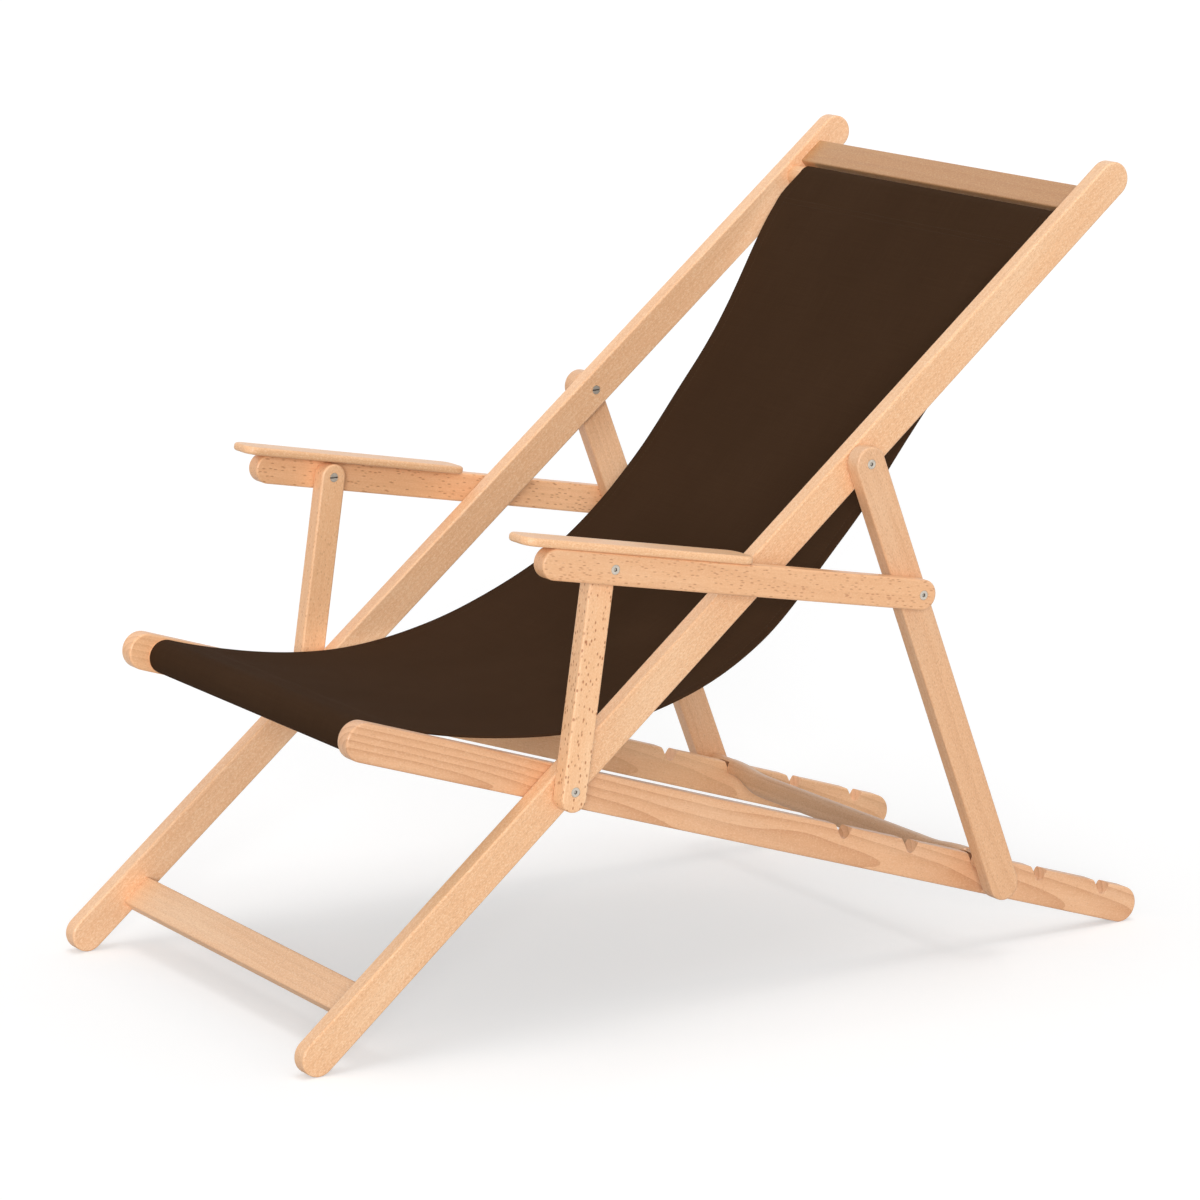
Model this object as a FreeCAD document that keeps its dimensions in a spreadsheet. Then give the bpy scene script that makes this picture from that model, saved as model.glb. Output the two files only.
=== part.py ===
import FreeCAD, Part
import math
import os
import Sketcher

# A folding deck chair with armrests: beech boards on pivot bolts, and a cloth sling.
# Millimetres and degrees, +Z up, +Y to the back, symmetric about x = 0, standing on z = 0.
# Every board lies in its own frame: x along the board, y across its depth, z towards world +X.

SIZES = [
    ("board_thickness", 20, "every rail, post and leg"),
    ("layer_gap", 0.8, "between boards that turn on each other"),
    ("edge_round", 2.5, "round on the long edges of the boards"),
    ("main_inner_width", 496, "between the inner faces of the two main rails"),
    ("main_depth", 38.5, "depth of a main rail"),
    ("main_tilt", 40, "slope of the main rails"),
    ("main_head_length", 932, "crossing pivot to the head tip"),
    ("main_foot_length", 398, "crossing pivot to the foot tip"),
    ("prop_pivot_distance", 479, "crossing pivot to the prop pivot"),
    ("seat_depth", 41, "depth of a seat rail"),
    ("seat_rear_length", 819, "crossing pivot to the rear tip"),
    ("seat_front_length", 257.5, "crossing pivot to the front tip"),
    ("notch_count", 5, "reclining notches in each seat rail"),
    ("notch_rear_setback", 55, "bottom of the last notch to the rear tip"),
    ("notch_pitch", 94.5, "from notch to notch"),
    ("notch_width", 23.5, "mouth of a notch"),
    ("notch_depth", 13.5, "depth of a notch"),
    ("notch_bottom_radius", 6, "round bottom of a notch"),
    ("notch_front_length", 15, "mouth of a notch ahead of its bottom"),
    ("rest_notch", 3, "notch that the prop bar is set in, counted from the front"),
    ("prop_depth", 37, "depth of a prop leg"),
    ("prop_leg_tail", 40, "axis of the prop bar to the tip of the leg"),
    ("arm_pivot_on_leg", 154.5, "prop pivot to the arm's rear pivot"),
    ("prop_bar_depth", 26, "depth of the prop bar in its middle"),
    ("prop_bar_width", 20, "prop bar from front to back"),
    ("prop_bar_sag", 9, "middle of the prop bar below its ends"),
    ("prop_bar_edge_round", 7, "round on the long edges of the prop bar"),
    ("prop_bar_end_diameter", 18, "round ends of the prop bar"),
    ("prop_bar_shoulder", 70, "length of the curve between middle and end"),
    ("prop_bar_drop", 4.5, "bar's axis below the top edge of the seat rails"),
    ("prop_bar_lift", 0.4, "saddle of the bar above the top edge of the seat rails"),
    ("prop_bar_side_play", 1, "saddle of the bar beside each seat rail"),
    ("prop_tenon_diameter", 15, "bar's tenon in the leg"),
    ("post_depth", 30, "depth of an arm post"),
    ("post_foot_length", 7, "crossing pivot to the centre of the post's round foot"),
    ("post_pivot_distance", 236, "crossing pivot to the arm's front pivot"),
    ("arm_depth", 33, "depth of an arm rail"),
    ("arm_front_length", 88, "front pivot to the front tip of the arm rail"),
    ("pad_front_length", 114, "front pivot to the front of the arm pad"),
    ("pad_rear_length", 173, "front pivot to the rear of the arm pad"),
    ("pad_thickness", 9, "thickness of an arm pad"),
    ("pad_overhang", 3, "arm pad past the outer face of the arm rail"),
    ("pad_play", 1, "arm pad beside the main rail when folded"),
    ("pad_corner_radius", 14, "corners of the arm pad"),
    ("pad_edge_round", 3.5, "round on the edges of the arm pad"),
    ("dowel_diameter", 8, "dowels under the arm pad"),
    ("dowel_pad_depth", 5, "dowel in the pad"),
    ("dowel_rail_depth", 18, "dowel in the arm rail"),
    ("dowel_front_distance", 60, "front pivot to the front dowel"),
    ("dowel_rear_distance", 110, "front pivot to the rear dowel"),
    ("top_bar_setback", 59.5, "middle of the top crossbar to the head tip"),
    ("top_bar_width", 35, "width of the top crossbar"),
    ("top_bar_thickness", 18, "thickness of the top crossbar"),
    ("foot_bar_setback", 92, "middle of the foot crossbar to the foot tip"),
    ("foot_bar_width", 38, "width of the foot crossbar"),
    ("foot_bar_thickness", 15, "thickness of the foot crossbar"),
    ("foot_bar_lift", 1, "foot crossbar above the lower edge of the main rails"),
    ("bar_edge_round", 2, "round on the edges of the crossbars"),
    ("tenon_length", 14, "tenons of the crossbars and bars"),
    ("tenon_shoulder", 4, "step round each tenon"),
    ("glue_gap", 0.05, "between a tenon or rod and its hole"),
    ("top_rod_gap", 5, "between the top crossbar and the sling's top rod"),
    ("top_rod_diameter", 24, "sling's top rod"),
    ("top_rod_seat_depth", 12, "rod in the main rail"),
    ("front_bar_setback", 41.5, "middle of the front bar to the front tip"),
    ("front_bar_diameter", 34, "sling's front bar"),
    ("front_tenon_diameter", 22, "front bar's tenon in the seat rail"),
    ("barrel_diameter", 7, "barrel of a pivot sleeve"),
    ("barrel_play", 0.05, "between a barrel and its hole"),
    ("head_diameter", 10, "heads of sleeves and bolts"),
    ("head_thickness", 2.4, "heads of sleeves and bolts"),
    ("head_recess", 0.2, "heads below the face of the board"),
    ("head_play", 0.25, "beside and under a head"),
    ("bolt_diameter", 5, "bolt inside a sleeve"),
    ("bolt_play", 0.05, "between a bolt and its sleeve"),
    ("bolt_reach", 14, "bolt inside a sleeve"),
    ("socket_width", 4, "hexagon socket across flats"),
    ("socket_depth", 1.4, "hexagon socket and screwdriver slot"),
    ("slot_width", 1.6, "screwdriver slot of a sleeve"),
    ("washer_diameter", 16, "washers between the boards"),
    ("washer_play", 0.1, "beside a washer"),
    ("sling_side_gap", 3.2, "between the cloth and the seat rails"),
    ("sling_thickness", 1.2, "thickness of the cloth"),
    ("sling_play", 0.3, "between the cloth and its rods"),
    ("sling_back_angle", 54.3, "slope of the cloth at the top rod"),
    ("sling_straight_run", 361, "flat stretch below the top rod"),
    ("sling_front_angle", 18.05, "rise of the cloth towards the front bar"),
    ("sling_bend_share", 0.352, "reach of the seat's bend compared with the back's bend"),
]

doc = FreeCAD.newDocument("DeckChair")
sheet = doc.addObject("Spreadsheet::Sheet", "Sizes")
for row, (alias, value, meaning) in enumerate(SIZES, start=1):
    sheet.set(f"A{row}", meaning)
    sheet.set(f"B{row}", str(value))
    sheet.setAlias(f"B{row}", alias)
doc.recompute()

SIDES = {"left": -1, "right": 1}
X_AXIS = FreeCAD.Vector(1, 0, 0)
BOARD_TURN = FreeCAD.Rotation(FreeCAD.Vector(1, 1, 1), 120)  # x, y, z become world Y, Z, X
DRAFT = 10  # rough size of an outline before its dimensions are set
FLAT = 0.999  # cosine above which two directions count as the same


def size(name):
    return float(sheet.get(name))


def heading(angle):
    """Unit vector in the side view, from an angle above the back direction in degrees."""
    return FreeCAD.Vector(0, math.cos(math.radians(angle)), math.sin(math.radians(angle)))


def slope(vector):
    """Angle of a side-view vector above the back direction, in degrees."""
    return math.degrees(math.atan2(vector.z, vector.y))


def circle_crossing(first, first_radius, second, second_radius):
    """Where two side-view circles cross, on the left of the way from the first to the second."""
    way = second - first
    along = (first_radius**2 - second_radius**2 + way.Length**2) / (2 * way.Length)
    aside = math.sqrt(first_radius**2 - along**2)
    forward = heading(slope(way))
    return first + forward * along + heading(slope(way) + 90) * aside


# Side-view layout: the main rails stand on their foot, the seat rails on their rear end

main_tilt = size("main_tilt")
foot_centre = size("main_foot_length") - size("main_depth") / 2
crossing_height = foot_centre * heading(main_tilt).z + size("main_depth") / 2
rear_centre = size("seat_rear_length") - size("seat_depth") / 2
seat_tilt = -math.degrees(math.asin((crossing_height - size("seat_depth") / 2) / rear_centre))

front_reach = foot_centre * heading(main_tilt).y + size("main_depth") / 2
rear_reach = rear_centre * heading(seat_tilt).y + size("seat_depth") / 2
CROSSING = FreeCAD.Vector(0, (front_reach - rear_reach) / 2, crossing_height)
PROP_PIVOT = CROSSING + heading(main_tilt) * size("prop_pivot_distance")

LAST_NOTCH_ALONG = "(Sizes.seat_rear_length - Sizes.notch_rear_setback)"
FIRST_NOTCH_ALONG = f"({LAST_NOTCH_ALONG} - (Sizes.notch_count - 1) * Sizes.notch_pitch)"
last_notch_along = size("seat_rear_length") - size("notch_rear_setback")
first_notch_along = last_notch_along - (size("notch_count") - 1) * size("notch_pitch")
bar_along = first_notch_along + (size("rest_notch") - 1) * size("notch_pitch")
bar_above = size("seat_depth") / 2 - size("prop_bar_drop")
PROP_BAR = CROSSING + heading(seat_tilt) * bar_along + heading(seat_tilt + 90) * bar_above
prop_bar_distance = (PROP_BAR - PROP_PIVOT).Length
prop_angle = slope(PROP_BAR - PROP_PIVOT)

# The arm linkage folds flat: post and arm together are as long as main rail and leg to the arm's pivot
ARM_SPAN = "Sizes.prop_pivot_distance + Sizes.arm_pivot_on_leg - Sizes.post_pivot_distance"
arm_span = size("prop_pivot_distance") + size("arm_pivot_on_leg") - size("post_pivot_distance")
ARM_REAR = PROP_PIVOT + heading(prop_angle) * size("arm_pivot_on_leg")
ARM_FRONT = circle_crossing(CROSSING, size("post_pivot_distance"), ARM_REAR, arm_span)
post_angle = slope(ARM_FRONT - CROSSING)
arm_angle = slope(ARM_REAR - ARM_FRONT)

# Crossbars, rod and front bar, counted from the crossing along their rails
TOP_BAR_ALONG = "(Sizes.main_head_length - Sizes.top_bar_setback)"
TOP_ROD_ROOM = "(Sizes.top_bar_width / 2 + Sizes.top_rod_gap + Sizes.top_rod_diameter / 2)"
FOOT_BAR_ALONG = "(Sizes.main_foot_length - Sizes.foot_bar_setback)"
FOOT_BAR_DROP = "((Sizes.main_depth - Sizes.foot_bar_thickness) / 2 - Sizes.foot_bar_lift)"
FRONT_BAR_ALONG = "(Sizes.seat_front_length - Sizes.front_bar_setback)"
top_bar_along = size("main_head_length") - size("top_bar_setback")
top_rod_room = size("top_bar_width") / 2 + size("top_rod_gap") + size("top_rod_diameter") / 2
foot_bar_along = size("main_foot_length") - size("foot_bar_setback")
foot_bar_drop = (size("main_depth") - size("foot_bar_thickness")) / 2 - size("foot_bar_lift")
front_bar_along = size("seat_front_length") - size("front_bar_setback")
TOP_ROD = CROSSING + heading(main_tilt) * (top_bar_along - top_rod_room)
FRONT_BAR = CROSSING - heading(seat_tilt) * front_bar_along

# Layers across the chair: distance from the middle plane to each layer's inner face
board_step = size("board_thickness") + size("layer_gap")
main_face = size("main_inner_width") / 2
LAYERS = {
    "seat": main_face - board_step,
    "main": main_face,
    "post": main_face + board_step,
    "arm": main_face + 2 * board_step,
}


def layer_middle(layer, side):
    return side * (LAYERS[layer] + size("board_thickness") / 2)


def board_placement(across, pivot, angle):
    place = FreeCAD.Vector(across, pivot.y, pivot.z)
    return FreeCAD.Placement(place, FreeCAD.Rotation(X_AXIS, angle).multiply(BOARD_TURN))


# Sketch and feature helpers


def new_body(label, placement):
    body = doc.addObject("PartDesign::Body", label)
    body.Label = label
    body.Placement = placement
    return body


def new_sketch(body, name, plane="XY_Plane", height=None):
    sketch = body.newObject("Sketcher::SketchObject", name)
    for feature in body.Origin.OriginFeatures:
        if feature.Role == plane:
            sketch.AttachmentSupport = [(feature, "")]
    sketch.MapMode = "FlatFace"
    if height:
        sketch.setExpression("AttachmentOffset.Base.z", height)
    return sketch


def bind(sketch, constraint, name, expression):
    """Add a dimension to a sketch and tie it to the sheet."""
    index = sketch.addConstraint(constraint)
    sketch.renameConstraint(index, name)
    sketch.setExpression(f"Constraints.{name}", expression)


def place_point(sketch, geometry, point, axis, name, expression):
    """Dimension a point from the origin along X or Y; an expression that starts with - lies below it."""
    if expression == "0":
        sketch.addConstraint(Sketcher.Constraint("PointOnObject", geometry, point, {"X": -2, "Y": -1}[axis]))
    elif expression.startswith("-"):
        constraint = Sketcher.Constraint(f"Distance{axis}", geometry, point, -1, 1, 1.0)
        bind(sketch, constraint, name, expression[1:].strip())
    else:
        constraint = Sketcher.Constraint(f"Distance{axis}", -1, 1, geometry, point, 1.0)
        bind(sketch, constraint, name, expression)


def draw_slot(sketch, tail, reach, depth):
    """A round-ended outline along x, between the centres of its round ends."""
    start, finish, half = -10 * DRAFT, 10 * DRAFT, DRAFT
    flat = FreeCAD.Vector(0, 0, 1)
    round_start = Part.Circle(FreeCAD.Vector(start, 0, 0), flat, half)
    round_finish = Part.Circle(FreeCAD.Vector(finish, 0, 0), flat, half)
    left = sketch.addGeometry(Part.ArcOfCircle(round_start, math.pi / 2, 3 * math.pi / 2))
    right = sketch.addGeometry(Part.ArcOfCircle(round_finish, -math.pi / 2, math.pi / 2))
    top = sketch.addGeometry(Part.LineSegment(FreeCAD.Vector(start, half), FreeCAD.Vector(finish, half)))
    bottom = sketch.addGeometry(Part.LineSegment(FreeCAD.Vector(start, -half), FreeCAD.Vector(finish, -half)))
    for arc, arc_end, line, line_end in ((left, 1, top, 1), (left, 2, bottom, 1),
                                         (right, 2, top, 2), (right, 1, bottom, 2)):
        sketch.addConstraint(Sketcher.Constraint("Tangent", arc, arc_end, line, line_end))
    sketch.addConstraint(Sketcher.Constraint("Equal", left, right))
    for arc in (left, right):
        sketch.addConstraint(Sketcher.Constraint("PointOnObject", arc, 3, -1))
    bind(sketch, Sketcher.Constraint("Diameter", left, 2.0 * half), "depth", depth)
    place_point(sketch, left, 3, "X", "tail", tail)
    place_point(sketch, right, 3, "X", "reach", reach)


def draw_circle(sketch, name, along, diameter):
    circle = sketch.addGeometry(Part.Circle(FreeCAD.Vector(0, 0, 0), FreeCAD.Vector(0, 0, 1), 1))
    bind(sketch, Sketcher.Constraint("Diameter", circle, 2.0), f"{name}_diameter", diameter)
    place_point(sketch, circle, 3, "X", f"{name}_along", along)
    sketch.addConstraint(Sketcher.Constraint("PointOnObject", circle, 3, -1))


def draw_rectangle(sketch, width, height, along="0", above="0"):
    """A rectangle about a middle point that is dimensioned from the origin."""
    corners = [FreeCAD.Vector(x, y) * DRAFT for x, y in ((-1, -1), (1, -1), (1, 1), (-1, 1))]
    lines = []
    for start, finish in zip(corners, corners[1:] + corners[:1]):
        lines.append(sketch.addGeometry(Part.LineSegment(start, finish)))
    for line, following in zip(lines, lines[1:] + lines[:1]):
        sketch.addConstraint(Sketcher.Constraint("Coincident", line, 2, following, 1))
    for line, direction in zip(lines, ("Horizontal", "Vertical", "Horizontal", "Vertical")):
        sketch.addConstraint(Sketcher.Constraint(direction, line))
    middle = sketch.addGeometry(Part.Point(FreeCAD.Vector(0, 0, 0)))
    sketch.addConstraint(Sketcher.Constraint("Symmetric", lines[0], 1, lines[2], 1, middle, 1))
    bind(sketch, Sketcher.Constraint("DistanceX", lines[0], 1, lines[0], 2, 2.0 * DRAFT), "width", width)
    bind(sketch, Sketcher.Constraint("DistanceY", lines[1], 1, lines[1], 2, 2.0 * DRAFT), "height", height)
    place_point(sketch, middle, 1, "X", "along", along)
    place_point(sketch, middle, 1, "Y", "above", above)


def pad(body, name, sketch, length):
    """A pad that grows both ways from its sketch."""
    feature = body.newObject("PartDesign::Pad", name)
    feature.Profile = sketch
    feature.SideType = "Symmetric"
    feature.setExpression("Length", length)
    return feature


def cut_through(body, name, sketch):
    feature = body.newObject("PartDesign::Pocket", name)
    feature.Profile = sketch
    feature.SideType = "Symmetric"
    feature.Type = "ThroughAll"
    return feature


def cut_in(body, name, sketch, depth, face):
    """A blind pocket from the face on the +z side (1) or the -z side (-1) into the board."""
    feature = body.newObject("PartDesign::Pocket", name)
    feature.Profile = sketch
    feature.Reversed = face < 0
    feature.setExpression("Length", depth)
    return feature


def round_edges(body, feature, radius, axis=FreeCAD.Vector(0, 0, 1)):
    """Round every edge of the two flat faces that look along an axis of the body."""
    doc.recompute()
    shape = feature.Shape
    flat = []
    for number, face in enumerate(shape.Faces, start=1):
        if isinstance(face.Surface, Part.Plane) and abs(face.Surface.Axis.dot(axis)) > FLAT:
            flat.append(f"Face{number}")
    fillet = body.newObject("PartDesign::Fillet", "rounded_edges")
    fillet.Base = (feature, flat)
    fillet.setExpression("Radius", radius)
    return fillet


def board_face(face):
    """Height of a board's +z or -z face as an expression."""
    return "Sizes.board_thickness / 2" if face > 0 else "-Sizes.board_thickness / 2"


def add_board(label, placement, tail, reach, depth):
    """A round-ended board with rounded edges."""
    body = new_body(label, placement)
    outline = new_sketch(body, "outline")
    draw_slot(outline, tail, reach, depth)
    blank = pad(body, "blank", outline, "Sizes.board_thickness")
    round_edges(body, blank, "Sizes.edge_round")
    return body


def drill_pivots(body, pivots):
    """Pivot holes on the middle line of a board: a name and a distance for each."""
    sketch = new_sketch(body, "pivot_holes")
    for name, along in pivots:
        draw_circle(sketch, name, along, "Sizes.barrel_diameter + 2 * Sizes.barrel_play")
    cut_through(body, "pivot_bores", sketch)


def sink_head(body, name, along, face):
    """The recess for the head of a pivot sleeve or bolt."""
    sketch = new_sketch(body, name, height=board_face(face))
    draw_circle(sketch, name, along, "Sizes.head_diameter + 2 * Sizes.head_play")
    cut_in(body, f"{name}_recess", sketch, "Sizes.head_thickness + Sizes.head_recess + Sizes.head_play", face)


def sink_round(body, name, along, diameter, depth, face):
    sketch = new_sketch(body, name, height=board_face(face))
    draw_circle(sketch, name, along, diameter)
    cut_in(body, f"{name}_hole", sketch, depth, face)


def sink_mortise(body, name, along, above, bar_width, bar_thickness, face):
    sketch = new_sketch(body, name, height=board_face(face))
    room = "2 * Sizes.glue_gap - 2 * Sizes.tenon_shoulder"
    draw_rectangle(sketch, f"{bar_width} + {room}", f"{bar_thickness} + {room}", along, above)
    cut_in(body, f"{name}_mortise", sketch, "Sizes.tenon_length + Sizes.glue_gap", face)


# Main frame: two long rails, two crossbars and the sling's top rod


def add_main_rail(name, side):
    placement = board_placement(layer_middle("main", side), CROSSING, main_tilt)
    body = add_board(
        f"main_rail_{name}", placement,
        tail="-(Sizes.main_foot_length - Sizes.main_depth / 2)",
        reach="Sizes.main_head_length - Sizes.main_depth / 2",
        depth="Sizes.main_depth",
    )
    drill_pivots(body, [("crossing", "0"), ("prop", "Sizes.prop_pivot_distance")])
    inner = -side
    sink_head(body, "prop_sleeve", "Sizes.prop_pivot_distance", inner)
    sink_round(
        body, "top_rod", f"{TOP_BAR_ALONG} - {TOP_ROD_ROOM}",
        "Sizes.top_rod_diameter + 2 * Sizes.glue_gap", "Sizes.top_rod_seat_depth + Sizes.glue_gap", inner,
    )
    sink_mortise(
        body, "top_bar", TOP_BAR_ALONG, "0",
        "Sizes.top_bar_width", "Sizes.top_bar_thickness", inner,
    )
    sink_mortise(
        body, "foot_bar", f"-{FOOT_BAR_ALONG}", f"-{FOOT_BAR_DROP}",
        "Sizes.foot_bar_width", "Sizes.foot_bar_thickness", inner,
    )


def add_crossbar(label, along, above, bar):
    """A flat crossbar between the main rails, with a tenon at each end."""
    middle = CROSSING + heading(main_tilt) * along + heading(main_tilt + 90) * above
    body = new_body(label, board_placement(0, middle, main_tilt))
    section = new_sketch(body, "section")
    draw_rectangle(section, f"Sizes.{bar}_width", f"Sizes.{bar}_thickness")
    blank = pad(body, "blank", section, "Sizes.main_inner_width")
    doc.recompute()
    fillet = body.newObject("PartDesign::Fillet", "rounded_edges")
    long_edges = []
    for number, edge in enumerate(blank.Shape.Edges, start=1):
        if abs(edge.tangentAt(edge.FirstParameter).z) > FLAT:
            long_edges.append(f"Edge{number}")
    fillet.Base = (blank, long_edges)
    fillet.setExpression("Radius", "Sizes.bar_edge_round")
    tenon = new_sketch(body, "tenon_section")
    step = "2 * Sizes.tenon_shoulder"
    draw_rectangle(tenon, f"Sizes.{bar}_width - {step}", f"Sizes.{bar}_thickness - {step}")
    pad(body, "tenons", tenon, "Sizes.main_inner_width + 2 * Sizes.tenon_length")


def add_rod(label, centre, diameter, length, tenon=None, tenon_length=None):
    """A round rod across the chair, with thinner tenons where it has them."""
    body = new_body(label, board_placement(0, centre, 0))
    section = new_sketch(body, "section")
    draw_circle(section, "rod", "0", diameter)
    pad(body, "rod", section, length)
    if tenon:
        tenon_section = new_sketch(body, "tenon_section")
        draw_circle(tenon_section, "tenon", "0", tenon)
        pad(body, "tenons", tenon_section, f"{length} + 2 * {tenon_length}")


# Seat frame: two notched rails and the sling's front bar

SEAT_INNER_WIDTH = "(Sizes.main_inner_width - 2 * Sizes.board_thickness - 2 * Sizes.layer_gap)"


def draw_notch(sketch):
    """A notch with a round bottom, a sloping front side and a steep rear side."""
    radius = size("notch_bottom_radius")
    rim = size("seat_depth") / 2
    centre = FreeCAD.Vector(first_notch_along, rim - size("notch_depth") + radius)
    mouth_front = FreeCAD.Vector(first_notch_along - size("notch_front_length"), rim)
    mouth_rear = mouth_front + FreeCAD.Vector(size("notch_width"), 0)
    flat = FreeCAD.Vector(0, 0, 1)
    bottom = sketch.addGeometry(Part.ArcOfCircle(Part.Circle(centre, flat, radius), math.pi, 2 * math.pi))
    arc = sketch.Geometry[bottom]
    front = sketch.addGeometry(Part.LineSegment(mouth_front, arc.StartPoint))
    rear = sketch.addGeometry(Part.LineSegment(arc.EndPoint, mouth_rear))
    mouth = sketch.addGeometry(Part.LineSegment(mouth_rear, mouth_front))
    sketch.addConstraint(Sketcher.Constraint("Tangent", front, 2, bottom, 1))
    sketch.addConstraint(Sketcher.Constraint("Tangent", bottom, 2, rear, 1))
    sketch.addConstraint(Sketcher.Constraint("Coincident", rear, 2, mouth, 1))
    sketch.addConstraint(Sketcher.Constraint("Coincident", mouth, 2, front, 1))
    sketch.addConstraint(Sketcher.Constraint("Horizontal", mouth))
    bind(sketch, Sketcher.Constraint("Radius", bottom, radius), "bottom_radius", "Sizes.notch_bottom_radius")
    bind(sketch, Sketcher.Constraint("DistanceX", mouth, 2, mouth, 1, 1.0), "width", "Sizes.notch_width")
    bind(sketch, Sketcher.Constraint("DistanceX", mouth, 2, bottom, 3, 1.0), "lean", "Sizes.notch_front_length")
    place_point(sketch, bottom, 3, "X", "along", FIRST_NOTCH_ALONG)
    place_point(sketch, mouth, 1, "Y", "top", "Sizes.seat_depth / 2")
    place_point(
        sketch, bottom, 3, "Y", "centre",
        "Sizes.seat_depth / 2 - Sizes.notch_depth + Sizes.notch_bottom_radius",
    )


def add_seat_rail(name, side):
    placement = board_placement(layer_middle("seat", side), CROSSING, seat_tilt)
    body = add_board(
        f"seat_rail_{name}", placement,
        tail="-(Sizes.seat_front_length - Sizes.seat_depth / 2)",
        reach="Sizes.seat_rear_length - Sizes.seat_depth / 2",
        depth="Sizes.seat_depth",
    )
    outline = new_sketch(body, "notch_outline")
    draw_notch(outline)
    notch = cut_through(body, "first_notch", outline)
    doc.recompute()
    row = body.newObject("PartDesign::LinearPattern", "notch_row")
    row.Originals = [notch]
    row.Direction = (outline, ["H_Axis"])
    row.setExpression("Length", "Sizes.notch_pitch * (Sizes.notch_count - 1)")
    row.setExpression("Occurrences", "Sizes.notch_count")
    body.Tip = row
    doc.recompute()
    drill_pivots(body, [("crossing", "0")])
    inner = -side
    sink_head(body, "crossing_sleeve", "0", inner)
    sink_round(
        body, "front_bar", f"-{FRONT_BAR_ALONG}",
        "Sizes.front_tenon_diameter + 2 * Sizes.glue_gap", "Sizes.tenon_length + Sizes.glue_gap", inner,
    )


# Prop frame: two legs and a bar that straddles the seat rails in their notches


def add_prop_leg(name, side):
    placement = board_placement(layer_middle("post", side), PROP_PIVOT, prop_angle)
    body = add_board(
        f"prop_leg_{name}", placement,
        tail="0",
        reach=f"{prop_bar_distance} + Sizes.prop_leg_tail - Sizes.prop_depth / 2",
        depth="Sizes.prop_depth",
    )
    drill_pivots(body, [("prop", "0"), ("arm", "Sizes.arm_pivot_on_leg")])
    inner, outer = -side, side
    sink_head(body, "prop_bolt", "0", outer)
    sink_head(body, "arm_sleeve", "Sizes.arm_pivot_on_leg", inner)
    sink_round(
        body, "prop_bar", f"{prop_bar_distance}",
        "Sizes.prop_tenon_diameter + 2 * Sizes.glue_gap", "Sizes.tenon_length + Sizes.glue_gap", inner,
    )


def half_neck(start, finish):
    """An arc that leaves the start along the bar and bends up or down to the finish."""
    rise, run = finish.x - start.x, finish.y - start.y
    radius = (run**2 + rise**2) / (2 * rise)
    half_turn = math.asin(abs(run / radius)) / 2
    along = math.copysign(radius * math.sin(half_turn), run)
    return Part.Arc(start, start + FreeCAD.Vector(radius * (1 - math.cos(half_turn)), along), finish)


def draw_bar_front(sketch, rail_face):
    """The bar from the front: u is up, v runs across the chair. Its middle hangs below its ends."""
    half, end = size("prop_bar_depth") / 2, size("prop_bar_end_diameter") / 2
    straight = rail_face - size("prop_bar_shoulder")
    tip = rail_face + size("prop_bar_edge_round")
    for level, end_level in ((half - size("prop_bar_sag"), end), (-half - size("prop_bar_sag"), -end)):
        sketch.addGeometry(Part.LineSegment(FreeCAD.Vector(level, -straight), FreeCAD.Vector(level, straight)))
        for side in SIDES.values():
            low_bend = FreeCAD.Vector(level, side * straight)
            over_rail = FreeCAD.Vector(end_level, side * rail_face)
            middle = (low_bend + over_rail) * 0.5
            sketch.addGeometry(half_neck(low_bend, middle))
            sketch.addGeometry(half_neck(over_rail, middle))
            sketch.addGeometry(Part.LineSegment(over_rail, FreeCAD.Vector(end_level, side * tip)))
    for side in SIDES.values():
        sketch.addGeometry(Part.LineSegment(FreeCAD.Vector(-end, side * tip), FreeCAD.Vector(end, side * tip)))


def draw_bar_end(sketch, rail_face):
    """Half of the section of one round end: u is the radius, v runs across the chair."""
    end = size("prop_bar_end_diameter") / 2
    tenon = size("prop_tenon_diameter") / 2
    leg_face = LAYERS["post"]
    tip = leg_face + size("tenon_length")
    stops = [
        FreeCAD.Vector(0, rail_face), FreeCAD.Vector(end, rail_face), FreeCAD.Vector(end, leg_face),
        FreeCAD.Vector(tenon, leg_face), FreeCAD.Vector(tenon, tip), FreeCAD.Vector(0, tip),
    ]
    for start, finish in zip(stops, stops[1:] + stops[:1]):
        sketch.addGeometry(Part.LineSegment(start, finish))


def add_prop_bar():
    """The bar has a flat saddle over each seat rail, so that it can leave the rails."""
    body = new_body("prop_crossbar", board_placement(0, PROP_BAR, seat_tilt))
    rail_face = LAYERS["seat"] - size("prop_bar_side_play")
    front = new_sketch(body, "front_view", plane="YZ_Plane")
    draw_bar_front(front, rail_face)
    blank = pad(body, "blank", front, "Sizes.prop_bar_width")
    round_edges(body, blank, "Sizes.prop_bar_edge_round", axis=X_AXIS)
    profile = new_sketch(body, "end_profile", plane="XZ_Plane")
    draw_bar_end(profile, rail_face)
    turned = body.newObject("PartDesign::Revolution", "round_end")
    turned.Profile = profile
    turned.ReferenceAxis = (profile, ["V_Axis"])
    turned.Angle = 360
    doc.recompute()
    saddle = new_sketch(body, "saddle", plane="YZ_Plane")
    depth = "(Sizes.prop_bar_depth + Sizes.prop_bar_drop + Sizes.prop_bar_lift)"
    draw_rectangle(
        saddle, depth, "Sizes.board_thickness + 2 * Sizes.prop_bar_side_play",
        along=f"-({depth} / 2 - Sizes.prop_bar_drop - Sizes.prop_bar_lift)",
        above=f"{SEAT_INNER_WIDTH} / 2 + Sizes.board_thickness / 2",
    )
    cut_through(body, "saddle_cut", saddle)
    doc.recompute()
    both = body.newObject("PartDesign::Mirrored", "both_halves")
    both.Originals = [turned, body.getObject("saddle_cut")]
    both.MirrorPlane = (profile, ["H_Axis"])
    body.Tip = both


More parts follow.
